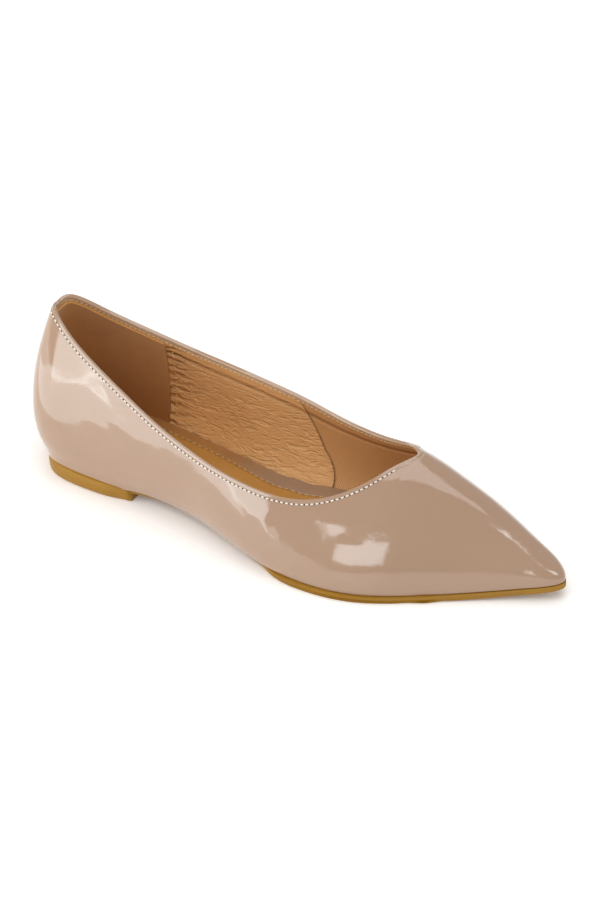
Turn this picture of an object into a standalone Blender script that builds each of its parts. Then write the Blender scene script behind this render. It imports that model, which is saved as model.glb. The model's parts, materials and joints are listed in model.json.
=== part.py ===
"""Pointed toe flat shoe for the right foot, made of an upper, an insole, an outsole and a heel lift.

+X runs to the toe, +Y to the inner side of the foot and +Z up, in metres. The shoe stands on z = 0.
Every piece is worked out from one last: ribbons that climb from the feather edge, where the upper meets
the sole, to the crown of the foot.
"""
import math

import bmesh
import bpy
import numpy as np

# Lengths and widths of the last
SHOE_LENGTH = 0.2555       # back of the heel curve to the toe point
BALL_WIDTH = 0.0795        # feather edge, across the ball
HEEL_WIDTH = 0.048         # feather edge, across the heel seat

# Heights
INSTEP_HEIGHT = 0.0495     # throat above the feather edge
BACK_HEIGHT = 0.067        # collar above the feather edge, at the back
HEEL_LIFT = 0.0052         # outsole above the floor, at the back
TOE_SPRING = 0.0052        # outsole above the floor, at the toe point

# Thicknesses and clearances
UPPER_WALL = 0.0018
OUTSOLE_THICKNESS = 0.003
INSOLE_THICKNESS = 0.0026
LASTING_MARGIN = 0.008     # width of the upper that is turned in under the foot
SEAT_GAP = 0.0003          # between pieces that lie on each other
SOCK_GAP = 0.0004          # between the insole's edge and the upper
SOLE_PROUD = 0.0004        # outsole past the feather edge
WAIST_INSET = 0.004        # outsole drawn in under the waist
EDGE_ROUND = 0.0006        # worn corner of the outsole's and the insole's edges
HEEL_BREAST = 0.0575       # front face of the heel lift, from the back
HEEL_TAPER = 0.0006        # heel lift drawn in at the floor
MARGIN_SHARE = 0.55        # most of the way to the spot under the crown that the margin may take

# Fineness of the meshes
VAMP_STATIONS = 18         # from the toe to the throat, on each side
QUARTER_STATIONS = 34      # from the throat to the back
HEEL_STATIONS = 14
RIBBON_STEPS = 14          # from the feather edge to the crown or the topline
RIM_STEPS = 3              # round the folded topline
VAMP_SPACING = 1.3         # above 1, stations crowd towards the toe
THROAT_SPACING = 0.2       # above 0, stations crowd where the topline climbs at the throat
MERGE_DISTANCE = 1e-7
SMOOTH_ANGLE = math.radians(35)

# Sections of the last, toe to back. "at" is a share of the shoe's length. Sideways sizes are shares of the
# width there, and heights are shares of the height there. The feather edge lies at outer and inner, each
# ribbon leaves it outwards by its bulge and upwards by its rise, and ends at the crown. Reach is how flat
# the ribbon lies where it meets the crown.
SECTION_COLUMNS = ("at", "outer", "inner", "bulge_outer", "bulge_inner", "rise",
                   "crown_at", "crown_side", "crown_up", "reach_outer", "reach_inner")
SECTIONS = (
    (0.999, +0.047, 0.047, 0.018, 0.018, 0.115, 0.952, 0.057, 0.222, 0.30, 0.30),
    (0.986, -0.010, 0.115, 0.021, 0.026, 0.126, 0.942, 0.055, 0.281, 0.38, 0.38),
    (0.949, -0.075, 0.181, 0.021, 0.031, 0.152, 0.915, 0.053, 0.420, 0.46, 0.47),
    (0.887, -0.184, 0.260, 0.020, 0.032, 0.184, 0.866, 0.044, 0.624, 0.50, 0.52),
    (0.800, -0.354, 0.350, 0.025, 0.029, 0.222, 0.793, 0.025, 0.846, 0.48, 0.50),
    (0.706, -0.522, 0.414, 0.036, 0.027, 0.260, 0.712, 0.006, 1.022, 0.47, 0.45),
    (0.605, -0.570, 0.330, 0.060, 0.142, 0.289, 0.607, -0.013, 1.100, 0.49, 0.63),
    (0.487, -0.540, 0.222, 0.200, 0.325, 0.290, 0.488, -0.027, 1.210, 0.50, 0.96),
    (0.362, -0.488, 0.322, 0.310, 0.280, 0.306, 0.366, -0.026, 1.268, 0.53, 0.69),
    (0.228, -0.512, 0.470, 0.290, 0.275, 0.322, 0.235, -0.010, 1.330, 0.47, 0.55),
    (0.111, -0.492, 0.495, 0.222, 0.215, 0.318, 0.080, 0.000, 1.200, 0.39, 0.37),
    (0.055, -0.370, 0.352, 0.388, 0.376, 0.317, 0.049, 0.000, 1.180, 0.30, 0.27),
    (0.038, 0.000, 0.000, 0.450, 0.450, 0.318, 0.047, 0.000, 1.176, 0.29, 0.29),
)

# The topline, throat to back: how far up the ribbons it runs, on either side of the foot.
TOPLINE_COLUMNS = ("at", "outer", "inner")
TOPLINE = (
    (0.723, 1.000, 1.000),
    (0.706, 0.850, 0.850),
    (0.674, 0.688, 0.690),
    (0.605, 0.512, 0.567),
    (0.487, 0.412, 0.508),
    (0.362, 0.374, 0.487),
    (0.228, 0.430, 0.465),
    (0.111, 0.606, 0.607),
    (0.055, 0.708, 0.700),
    (0.038, 0.704, 0.704),
)

# Height of the outsole's underside, as a share of the heel lift. From the end of this table to the start of
# the toe spring the forefoot lies flat on the floor.
ARCH_COLUMNS = ("at", "share")
ARCH = ((-0.02, 1.0), (0.15, 0.93), (0.275, 0.70), (0.41, 0.30), (0.52, 0.06), (0.60, 0.0))
SPRING_START = 0.778

# Where the outsole is drawn in under the waist: it starts and is full, then starts to come back and is out
WAIST_SHARES = (0.17, 0.28, 0.46, 0.58)

# Where the sizes of the heel give way to those of the forefoot, as shares of the length
WIDTH_BLEND_SHARES = (0.234, 0.593)
HEIGHT_BLEND_SHARES = (0.286, 0.696)

OUTER, INNER = "outer", "inner"


def column(rows, names, name):
    """One named column of a table, as an array."""
    return np.array([row[names.index(name)] for row in rows], float)


def smoothstep(low, high, value):
    share = np.clip((value - low) / (high - low), 0.0, 1.0)
    return share * share * (3.0 - 2.0 * share)


def unit(vectors):
    return vectors / np.linalg.norm(vectors, axis=-1, keepdims=True)


class Spline:
    """Cubic curve through values at knots: closed on itself, or with each end flat or free."""

    def __init__(self, knots, values, closed=False, flat_ends=(False, False)):
        self.knots = np.asarray(knots, float)
        self.values = np.asarray(values, float).reshape(len(knots), -1)
        self.closed = closed
        steps = np.diff(self.knots)
        slopes = np.diff(self.values, axis=0) / steps[:, None]
        count = len(steps) if closed else len(steps) + 1
        matrix = np.zeros((count, count))
        right = np.zeros((count, self.values.shape[1]))
        for i in range(count):
            if closed or 0 < i < count - 1:
                matrix[i, i - 1] += steps[i - 1]
                matrix[i, i] += 2.0 * (steps[i - 1] + steps[i])
                matrix[i, (i + 1) % count] += steps[i]
                right[i] = 6.0 * (slopes[i] - slopes[i - 1])
        if not closed:
            for end, near, step, slope in ((0, 1, steps[0], slopes[0]), (-1, -2, steps[-1], -slopes[-1])):
                matrix[end, end] = 2.0 * step
                if flat_ends[end]:
                    matrix[end, near] = step
                    right[end] = 6.0 * slope
        bends = np.linalg.solve(matrix, right)
        self.bends = np.vstack([bends, bends[:1]]) if closed else bends

    def __call__(self, place):
        place = np.asarray(place, float)
        first, last = self.knots[0], self.knots[-1]
        place = first + np.mod(place - first, last - first) if self.closed else np.clip(place, first, last)
        i = np.clip(np.searchsorted(self.knots, place, side="right") - 1, 0, len(self.knots) - 2)
        step = (self.knots[i + 1] - self.knots[i])[..., None]
        b = (place - self.knots[i])[..., None] / step
        a = 1.0 - b
        line = a * self.values[i] + b * self.values[i + 1]
        return line + ((a ** 3 - a) * self.bends[i] + (b ** 3 - b) * self.bends[i + 1]) * step ** 2 / 6.0


def underside(x):
    """Height of the outsole's underside above the floor."""
    at = column(ARCH, ARCH_COLUMNS, "at")
    share = column(ARCH, ARCH_COLUMNS, "share")
    arch = Spline(at, share, flat_ends=(True, True))
    place = np.asarray(x, float) / SHOE_LENGTH
    spring = np.clip((place - SPRING_START) / (1.0 - SPRING_START), 0.0, None) ** 2
    return HEEL_LIFT * np.clip(arch(place)[..., 0], 0.0, None) + TOE_SPRING * spring


def feather_height(x):
    return underside(x) + OUTSOLE_THICKNESS + SEAT_GAP


def width_at(place):
    return HEEL_WIDTH + (BALL_WIDTH - HEEL_WIDTH) * smoothstep(*WIDTH_BLEND_SHARES, place)


def height_at(place):
    return BACK_HEIGHT + (INSTEP_HEIGHT - BACK_HEIGHT) * smoothstep(*HEIGHT_BLEND_SHARES, place)


class Last:
    """The foot's form. A station runs from 0 at the toe down the outer side to 1 at the back, and on up
    the inner side to 2 at the toe again. A climb runs from 0 at the feather edge to 1 at the crown."""

    def __init__(self):
        table = {name: column(SECTIONS, SECTION_COLUMNS, name) for name in SECTION_COLUMNS}
        place = table["at"]
        width, height = width_at(place), height_at(place)
        crown_x = table["crown_at"] * SHOE_LENGTH
        crown_z = feather_height(place * SHOE_LENGTH) + table["crown_up"] * height
        slope = np.gradient(crown_z, crown_x)
        sides = []
        for side in (OUTER, INNER):
            x = place * SHOE_LENGTH
            sides.append(np.stack([
                x, table[side] * width, table["bulge_" + side] * width, table["rise"] * height,
                crown_x, table["crown_side"] * width, crown_z, slope, table["reach_" + side]], -1))
        chords = [np.linalg.norm(np.diff(rows[:, :2], axis=0), axis=1) for rows in sides]
        run = np.concatenate([[0.0], np.cumsum(np.mean(chords, axis=0))])
        run /= run[-1]
        knots = np.concatenate([run, 2.0 - run[-2::-1]])
        self.rows = Spline(knots, np.vstack([sides[0], sides[1][-2::-1]]), closed=True)

    def station_at(self, x):
        """Station, on the outer side, where the feather edge is at x."""
        fine = np.linspace(0.0, 1.0, 4001)
        return np.interp(x, self.rows(fine)[::-1, 0], fine[::-1])

    def outward(self, station):
        step = 1e-4
        along = unit(self.rows(station + step)[..., :2] - self.rows(station - step)[..., :2])
        return np.stack([-along[..., 1], along[..., 0]], -1)

    def feather(self, station, outset=0.0):
        """Plan of the feather edge, moved outwards by outset."""
        outset = np.broadcast_to(outset, np.shape(station))[..., None]
        return self.rows(station)[..., :2] + self.outward(station) * outset

    def surface(self, station, climb):
        station, climb = np.broadcast_arrays(np.asarray(station, float), np.asarray(climb, float))
        x, y, bulge, rise, crown_x, crown_y, crown_z, slope, reach = np.moveaxis(self.rows(station), -1, 0)
        out = self.outward(station)
        foot = np.stack([x, y, feather_height(x)], -1)
        lower = foot + np.stack([out[..., 0] * bulge, out[..., 1] * bulge, rise], -1)
        crown = np.stack([crown_x, crown_y, crown_z], -1)
        forward, sideways = reach * (x - crown_x), reach * (y - crown_y)
        upper = crown + np.stack([forward, sideways, slope * forward], -1)
        t = climb[..., None]
        return (foot * (1 - t) ** 3 + 3 * lower * t * (1 - t) ** 2
                + 3 * upper * t * t * (1 - t) + crown * t ** 3)

    def normal(self, station, climb):
        """Outward normal of the last."""
        step = 1e-4
        station, climb = np.broadcast_arrays(np.asarray(station, float), np.asarray(climb, float))
        low, high = np.clip(climb - step, 0, 1), np.clip(climb + step, 0, 1)
        up = self.surface(station, high) - self.surface(station, low)
        along = self.surface(station + step, climb) - self.surface(station - step, climb)
        across = np.cross(up, along)
        slope = self.rows(station)[..., 7]
        on_crown = np.stack([-slope, np.zeros_like(slope), np.ones_like(slope)], -1)
        at_top = (climb > 1.0 - step)[..., None]
        return unit(np.where(at_top, on_crown, across))


def topline():
    """Stations from the throat to the back, and the climb of the topline there on each side."""
    at = column(TOPLINE, TOPLINE_COLUMNS, "at")
    climbs = {side: column(TOPLINE, TOPLINE_COLUMNS, side) for side in (OUTER, INNER)}
    mean_climb = (climbs[OUTER] + climbs[INNER]) / 2.0
    stations = LAST.station_at(at * SHOE_LENGTH)
    stations[-1] = 1.0
    steps = np.hypot(np.diff(stations), THROAT_SPACING * np.diff(mean_climb))
    run = np.concatenate([[0.0], np.cumsum(steps)])
    fine = np.linspace(0.0, run[-1], QUARTER_STATIONS + 1)
    along = Spline(run, stations, flat_ends=(True, False))(fine)[:, 0]
    return along, {side: Spline(run, climbs[side], flat_ends=(False, True))(fine)[:, 0] for side in climbs}


def mirrored(outer_values, inner_values):
    """Values round the whole loop, from the toe down the outer side and back up the inner side."""
    return np.concatenate([outer_values, inner_values[-2:0:-1]])


def faced_mesh(name, points, faces):
    """A closed mesh from points and faces, with equal points merged and its faces turned outwards."""
    form = bmesh.new()
    corners = [form.verts.new(point) for point in points]
    for face in faces:
        form.faces.new([corners[i] for i in face])
    bmesh.ops.remove_doubles(form, verts=form.verts, dist=MERGE_DISTANCE)
    bmesh.ops.triangulate(form, faces=form.faces)
    bmesh.ops.recalc_face_normals(form, faces=form.faces)
    mesh = bpy.data.meshes.new(name)
    form.to_mesh(mesh)
    form.free()
    mesh.shade_smooth()
    mesh.set_sharp_from_angle(angle=SMOOTH_ANGLE)
    return mesh


def ring_faces(rings, count):
    """Quads between neighbouring rings of count points each."""
    faces = []
    for ring in range(rings - 1):
        for i in range(count):
            j = (i + 1) % count
            faces.append((ring * count + i, ring * count + j, (ring + 1) * count + j, (ring + 1) * count + i))
    return faces


def inner_surface(station, climb):
    return LAST.surface(station, climb) - UPPER_WALL * LAST.normal(station, climb)


def inner_climb(stations, level):
    """Climb at which the upper's inner face is level above the feather edge."""
    low, high = np.zeros_like(stations), np.ones_like(stations)
    for _ in range(30):
        middle = (low + high) / 2.0
        place = inner_surface(stations, middle)
        below = place[..., 2] < feather_height(place[..., 0]) + level
        low, high = np.where(below, middle, low), np.where(below, high, middle)
    return high


def inner_inset(stations, level):
    """How far the upper's inner face lies inside the feather edge, level above it."""
    place = inner_surface(stations, inner_climb(stations, level))[..., :2]
    return np.einsum("ij,ij->i", LAST.feather(stations) - place, LAST.outward(stations))


def loop_stations():
    """Stations round the whole shoe, and how far up its ribbon the upper runs at each."""
    quarter, climbs = topline()
    vamp = quarter[0] * np.linspace(0.0, 1.0, VAMP_STATIONS + 1)[:-1] ** VAMP_SPACING
    side = np.concatenate([vamp, quarter])
    tops = [np.concatenate([np.ones_like(vamp), climbs[name]]) for name in (OUTER, INNER)]
    return mirrored(side, 2.0 - side), mirrored(*tops)


def upper_mesh():
    """Hollow shell: outer face, folded topline, inner face and the margin turned in under the foot."""
    stations, top = loop_stations()
    count = len(stations)
    share = np.linspace(0.0, 1.0, RIBBON_STEPS + 1)[:, None]

    outer = LAST.surface(stations, share * top)
    corner = inner_climb(stations, UPPER_WALL)
    inner = inner_surface(stations, corner + share * (top - corner))

    # Rim: half a turn from the outer to the inner face, bulging towards the opening
    middle, across = (outer[-1] + inner[-1]) / 2.0, (outer[-1] - inner[-1]) / 2.0
    first, last = VAMP_STATIONS, count - VAMP_STATIONS
    loop = middle[first:last]
    along = np.zeros_like(middle)
    along[first:last] = unit(np.roll(loop, -1, axis=0) - np.roll(loop, 1, axis=0))
    along[last] = along[first]
    bulge = np.cross(along, across)
    turns = [math.pi * i / RIM_STEPS for i in range(1, RIM_STEPS)]
    rim = [middle + math.cos(turn) * across + math.sin(turn) * bulge for turn in turns]

    # Margin: from the inner corner towards the spot under the crown, and back to the feather edge
    feather = outer[0]
    target = LAST.rows(stations)[..., 4:6] - feather[:, :2]
    reach = np.linalg.norm(target, axis=1, keepdims=True)
    margin = np.minimum(LASTING_MARGIN, MARGIN_SHARE * reach)
    edge = feather[:, :2] + target / reach * margin
    under = feather_height(edge[:, 0])
    margin_top = np.column_stack([edge, under + UPPER_WALL])
    margin_under = np.column_stack([edge, under])

    rings = list(outer) + rim + list(inner[::-1]) + [margin_top, margin_under, outer[0]]
    points = np.concatenate(rings)
    open_rings = range(RIBBON_STEPS, RIBBON_STEPS + RIM_STEPS)
    faces = []
    for number, face in enumerate(ring_faces(len(rings), count)):
        ring, i = divmod(number, count)
        crosses_vamp = i < first or i >= last
        if not (ring in open_rings and crosses_vamp):
            faces.append(face)
    return faced_mesh("upper", points, faces)


def plate_mesh(name, stations, layers, pointed=True):
    """A closed plate. Each layer is (plan, heights) of its edge. The layers are bridged, and the first and
    the last are filled across the foot. A pointed plate starts at one point, a blunt one with a straight edge."""
    rings = [np.column_stack([plan, heights]) for plan, heights in layers]
    count = len(stations)
    faces = ring_faces(len(rings), count)
    across = count if pointed else count - 1
    for base in (0, (len(rings) - 1) * count):
        for i in range(across // 2):
            loop = (i, i + 1, (across - i - 1) % count, (across - i) % count)
            faces.append(tuple(base + corner for corner in dict.fromkeys(loop)))
    return faced_mesh(name, np.concatenate(rings), faces)


def sole_edge(stations, outset):
    """Plan of the outsole's edge, moved outwards by outset."""
    place = LAST.rows(stations)[..., 0] / SHOE_LENGTH
    waist = smoothstep(*WAIST_SHARES[:2], place) * (1.0 - smoothstep(*WAIST_SHARES[2:], place))
    return LAST.feather(stations, SOLE_PROUD - WAIST_INSET * waist + outset)


def outsole_mesh():
    stations, _ = loop_stations()
    edge = sole_edge(stations, 0.0)
    tread = sole_edge(stations, -EDGE_ROUND)
    return plate_mesh("outsole", stations, [
        (tread, underside(tread[:, 0])),
        (edge, underside(edge[:, 0]) + EDGE_ROUND),
        (edge, underside(edge[:, 0]) + OUTSOLE_THICKNESS),
    ])


def heel_mesh():
    breast = LAST.station_at(HEEL_BREAST)
    stations = np.linspace(breast, 2.0 - breast, 2 * HEEL_STATIONS + 1)
    top = sole_edge(stations, 0.0)
    tread = sole_edge(stations, -HEEL_TAPER)
    return plate_mesh("heel", stations, [
        (tread, np.zeros(len(stations))),
        (top, underside(top[:, 0]) - SEAT_GAP),
    ], pointed=False)


def insole_mesh():
    stations, _ = loop_stations()
    seat = UPPER_WALL + SEAT_GAP
    levels = (UPPER_WALL, seat + INSOLE_THICKNESS)
    inset = np.max([inner_inset(stations, level) for level in levels], axis=0) + SOCK_GAP
    edge = LAST.feather(stations, -inset)
    brim = LAST.feather(stations, -inset - EDGE_ROUND)
    return plate_mesh("insole", stations, [
        (edge, feather_height(edge[:, 0]) + seat),
        (edge, feather_height(edge[:, 0]) + seat + INSOLE_THICKNESS - EDGE_ROUND),
        (brim, feather_height(brim[:, 0]) + seat + INSOLE_THICKNESS),
    ])


def material(name, colour, roughness):
    surface = bpy.data.materials.new(name)
    surface.use_nodes = True
    shader = surface.node_tree.nodes["Principled BSDF"]
    shader.inputs["Base Color"].default_value = (*colour, 1.0)
    shader.inputs["Roughness"].default_value = roughness
    shader.inputs["Metallic"].default_value = 0.0
    surface.diffuse_color = (*colour, 1.0)
    return surface


def main():
    for thing in list(bpy.data.objects):
        bpy.data.objects.remove(thing)
    meshes = {"upper": upper_mesh(), "insole": insole_mesh(), "outsole": outsole_mesh(), "heel": heel_mesh()}
    finishes = {
        "upper": material("patent", (0.51, 0.35, 0.25), 0.12),
        "insole": material("sock_leather", (0.40, 0.22, 0.08), 0.55),
        "outsole": material("sole_rubber", (0.45, 0.26, 0.04), 0.5),
        "heel": material("heel_rubber", (0.42, 0.24, 0.04), 0.5),
    }
    corners = np.array([vertex.co for mesh in meshes.values() for vertex in mesh.vertices])
    middle = (corners.min(axis=0) + corners.max(axis=0)) / 2.0
    shoe = bpy.data.objects.new("shoe", None)
    shoe.location = (-middle[0], -middle[1], 0.0)
    bpy.context.scene.collection.objects.link(shoe)
    for name, mesh in meshes.items():
        mesh.materials.append(finishes[name])
        piece = bpy.data.objects.new(name, mesh)
        piece.parent = shoe
        bpy.context.scene.collection.objects.link(piece)
    bpy.context.view_layer.update()


LAST = Last()
main()
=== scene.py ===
import json
import math

import bpy
from mathutils import Matrix, Vector
from mathutils.bvhtree import BVHTree
from mathutils.kdtree import KDTree

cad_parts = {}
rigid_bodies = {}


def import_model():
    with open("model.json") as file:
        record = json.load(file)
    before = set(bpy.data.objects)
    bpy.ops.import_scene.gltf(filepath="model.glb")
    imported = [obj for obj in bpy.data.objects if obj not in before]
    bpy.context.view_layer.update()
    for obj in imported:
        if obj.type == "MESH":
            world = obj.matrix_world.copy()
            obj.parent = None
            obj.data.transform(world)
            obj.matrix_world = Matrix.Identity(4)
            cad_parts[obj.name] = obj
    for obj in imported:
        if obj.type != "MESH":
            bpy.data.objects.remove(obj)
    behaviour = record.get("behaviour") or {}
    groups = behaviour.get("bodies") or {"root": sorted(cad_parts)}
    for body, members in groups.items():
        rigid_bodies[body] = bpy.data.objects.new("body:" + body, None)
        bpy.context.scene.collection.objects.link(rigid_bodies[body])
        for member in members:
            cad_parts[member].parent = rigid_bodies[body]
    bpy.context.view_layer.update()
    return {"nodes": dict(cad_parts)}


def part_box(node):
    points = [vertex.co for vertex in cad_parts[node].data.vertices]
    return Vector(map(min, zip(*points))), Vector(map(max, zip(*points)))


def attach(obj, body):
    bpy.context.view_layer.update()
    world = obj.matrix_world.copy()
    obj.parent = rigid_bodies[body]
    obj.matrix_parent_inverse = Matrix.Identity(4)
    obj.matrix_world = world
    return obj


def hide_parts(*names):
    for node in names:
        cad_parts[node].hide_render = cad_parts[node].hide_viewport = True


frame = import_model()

nodes = frame["nodes"]
print("frame loaded:", ", ".join(sorted(nodes)))

# small helpers for picking and shaping


def pickOnly(*pieces):
    if bpy.context.object and bpy.context.object.mode != "OBJECT":
        bpy.ops.object.mode_set(mode="OBJECT")
    bpy.ops.object.select_all(action="DESELECT")
    for piece in pieces:
        piece.select_set(True)
    bpy.context.view_layer.objects.active = pieces[-1]


def startShaping(piece, kind="FACE"):
    pickOnly(piece)
    bpy.ops.object.mode_set(mode="EDIT")
    bpy.ops.mesh.select_mode(type=kind)
    bpy.ops.mesh.select_all(action="DESELECT")
    bpy.ops.object.mode_set(mode="OBJECT")


def chosen(parts, wanted):
    # marks what is wanted and goes back into edit mode, so that the next operator acts on it
    count = 0
    for part in parts:
        part.select = bool(wanted(part))
        count += part.select
    bpy.ops.object.mode_set(mode="EDIT")
    return count


def doneShaping():
    bpy.ops.object.mode_set(mode="OBJECT")


def useModifier(piece, kind, **settings):
    pickOnly(piece)
    modifier = piece.modifiers.new(kind.lower(), kind)
    for name, value in settings.items():
        setattr(modifier, name, value)
    bpy.ops.object.modifier_apply(modifier=modifier.name)


def rounded(piece, levels=2, rounds=4):
    # the corners are pulled out a little first, so that the rounded surface still passes where they were
    mesh = piece.data
    goals = [v.co.copy() for v in mesh.vertices]
    modifier = piece.modifiers.new("subsurf", "SUBSURF")
    modifier.levels = modifier.render_levels = 1
    for _ in range(rounds):
        bpy.context.view_layer.update()
        smooth = piece.evaluated_get(bpy.context.evaluated_depsgraph_get()).data
        for v, goal in zip(mesh.vertices, goals):
            v.co += goal - smooth.vertices[v.index].co
        mesh.update()
    modifier.levels = modifier.render_levels = levels
    pickOnly(piece)
    bpy.ops.object.modifier_apply(modifier=modifier.name)


def copyOfNode(node, name, joinPairs=True):
    # the CAD mesh is loose triangles, so its copy is merged first, and turned back into quads
    piece = bpy.data.objects.new(name, nodes[node].data.copy())
    piece.data.name = name
    piece.data.materials.clear()
    bpy.context.scene.collection.objects.link(piece)
    pickOnly(piece)
    if piece.data.has_custom_normals:
        bpy.ops.mesh.customdata_custom_splitnormals_clear()
    bpy.ops.object.mode_set(mode="EDIT")
    bpy.ops.mesh.select_mode(type="FACE")
    bpy.ops.mesh.select_all(action="SELECT")
    bpy.ops.mesh.remove_doubles(threshold=0.00001)
    if joinPairs:
        bpy.ops.mesh.tris_convert_to_quads(face_threshold=math.pi, shape_threshold=math.pi)
    bpy.ops.mesh.select_all(action="DESELECT")
    doneShaping()
    corners = [len(face.vertices) for face in piece.data.polygons]
    print(name, "from", node, "has", len(corners), "faces,", corners.count(3), "of them triangles")
    return piece


def copyOfPiece(piece, name):
    copy = bpy.data.objects.new(name, piece.data.copy())
    copy.data.name = name
    bpy.context.scene.collection.objects.link(copy)
    return copy


def creaseSharpEdges(piece, shape):
    startShaping(piece, "EDGE")
    mesh = piece.data
    normals = {}
    for face in mesh.polygons:
        for key in face.edge_keys:
            normals.setdefault(key, []).append(face.normal.copy())
    sharp = {key for key, pair in normals.items()
             if len(pair) == 2 and pair[0].angle(pair[1], 0) > shape["sharpAngle"]}
    chosen(mesh.edges, lambda edge: edge.key in sharp
           and all(mesh.vertices[i].co.z < shape["sharpBelow"] for i in edge.vertices))
    bpy.ops.transform.edge_crease(value=shape["sharpWeight"])
    doneShaping()


def finished(piece, finish, standsFor=()):
    piece.data.materials.clear()
    piece.data.materials.append(finish)
    pickOnly(piece)
    bpy.ops.object.shade_smooth_by_angle(angle=math.radians(40))
    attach(piece, "root")
    if standsFor:
        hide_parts(*standsFor)
    return piece


def treeOf(piece):
    return BVHTree.FromPolygons([v.co for v in piece.data.vertices], [p.vertices for p in piece.data.polygons])


def spotsTree(spots):
    tree = KDTree(len(spots))
    for i, spot in enumerate(spots):
        tree.insert(spot, i)
    tree.balance()
    return tree


def softStep(low, high, value):
    share = min(max((value - low) / (high - low), 0.0), 1.0)
    return share * share * (3 - 2 * share)


def fromTable(stations, values, x):
    # the value at x, straight between the stations on either side
    x = min(max(x, stations[0]), stations[-1])
    i = max(k for k in range(len(stations) - 1) if stations[k] <= x)
    share = (x - stations[i]) / (stations[i + 1] - stations[i])
    return values[i] * (1 - share) + values[i + 1] * share


def awayFrom(path, spot):
    # the shortest way from a spot to a line through the path's points
    best = 1.0
    for a, b in zip(path, path[1:]):
        run = b - a
        share = min(max((spot - a).dot(run) / run.length_squared, 0.0), 1.0)
        best = min(best, (spot - a - run * share).length)
    return best


def pressed(piece, name, weightAt, height, **settings):
    # lifts the surface by up to that height, or presses it in where the height is below nothing
    group = piece.vertex_groups.new(name=name)
    for v in piece.data.vertices:
        weight = weightAt(v.co)
        if weight > 0.002:
            group.add([v.index], weight, "REPLACE")
    useModifier(piece, "DISPLACE", vertex_group=name, strength=height, **settings)


def measured(piece, name, valueAt):
    # keeps a number at each corner, for the finish to read
    values = piece.data.attributes.new(name, "FLOAT", "POINT").data
    for v, slot in zip(piece.data.vertices, values):
        slot.value = valueAt(v.co)


# finishes


class Level:
    # a number that varies over the surface, which + - * work on
    def __init__(self, finish, socket):
        self.finish = finish
        self.socket = socket

    def reckon(self, operation, *values):
        return self.finish.node("ShaderNodeMath", {"operation": operation}, values)

    def __add__(self, other):
        return self.reckon("ADD", self, other)

    def __radd__(self, other):
        return self.reckon("ADD", other, self)

    def __sub__(self, other):
        return self.reckon("SUBTRACT", self, other)

    def __rsub__(self, other):
        return self.reckon("SUBTRACT", other, self)

    def __mul__(self, other):
        return self.reckon("MULTIPLY", self, other)

    def __rmul__(self, other):
        return self.reckon("MULTIPLY", other, self)

    def __abs__(self):
        return self.reckon("ABSOLUTE", self)

    def wave(self):
        return self.reckon("SINE", self)

    def power(self, exponent):
        return self.reckon("POWER", self, exponent)

    def step(self, low, high):
        # 0 below low, 1 above high, and a soft turn between
        return self.finish.node("ShaderNodeMapRange", {"interpolation_type": "SMOOTHSTEP"},
                                {"Value": self, "From Min": low, "From Max": high})

    def near(self, reach):
        # 1 where the number is nothing, 0 from that reach on, either way
        return 1 - abs(self).step(0, reach)


class Finish:
    def __init__(self, name, fixed):
        self.material = bpy.data.materials.new(name)
        self.material.use_nodes = True
        self.tree = self.material.node_tree
        self.shader = self.tree.nodes["Principled BSDF"]
        for label, value in fixed.items():
            self.shader.inputs[label].default_value = value

    def node(self, kind, settings=None, values=(), output=0):
        made = self.tree.nodes.new(kind)
        for label, value in (settings or {}).items():
            setattr(made, label, value)
        for key, value in values.items() if isinstance(values, dict) else enumerate(values):
            if isinstance(value, Level):
                self.tree.links.new(value.socket, made.inputs[key])
            else:
                made.inputs[key].default_value = value
        return Level(self, made.outputs[output])

    def feed(self, label, value):
        self.tree.links.new(value.socket, self.shader.inputs[label])

    def place(self, scale=(1, 1, 1), turn=(0, 0, 0)):
        where = self.node("ShaderNodeTexCoord", output="Object")
        return self.node("ShaderNodeMapping", {}, {"Vector": where, "Scale": scale, "Rotation": turn})

    def axes(self):
        where = self.node("ShaderNodeTexCoord", output="Object")
        split = self.node("ShaderNodeSeparateXYZ", {}, [where])
        sockets = split.socket.node.outputs
        return [Level(self, sockets[i]) for i in range(3)]

    def noise(self, scale, detail=3, rough=0.5, where=None, warp=0):
        return self.node("ShaderNodeTexNoise", {}, {
            "Vector": where or self.place(), "Scale": scale,
            "Detail": detail, "Roughness": rough, "Distortion": warp})

    def cells(self, scale):
        return self.node("ShaderNodeTexVoronoi", {}, {"Vector": self.place(), "Scale": scale})

    def marked(self, name):
        return self.node("ShaderNodeAttribute", {"attribute_name": name}, output="Fac")

    def mixed(self, share, low, high):
        # low where share is 0, high where it is 1
        return self.node("ShaderNodeMix", {"data_type": "RGBA"}, {0: share, 6: low, 7: high}, output=2)

    def relief(self, height, depth, under=None):
        # height between 0 and 1, depth in metres
        values = {"Height": height, "Distance": depth, "Strength": 1.0}
        if under:
            values["Normal"] = under
        return self.node("ShaderNodeBump", {}, values)


def tone(red, green, blue):
    # a colour as read off a screen, made linear
    linear = (((c + 0.055) / 1.055) ** 2.4 if c > 0.04045 else c / 12.92 for c in (red, green, blue))
    return (*linear, 1.0)


def plainFinish(name, roughness, scale, low, high):
    finish = Finish(name, {"Roughness": roughness})
    finish.feed("Base Color", finish.mixed(finish.noise(scale, 2), low, high))
    return finish


# upper: patent outside, leather inside, both from one rounded shell

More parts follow.
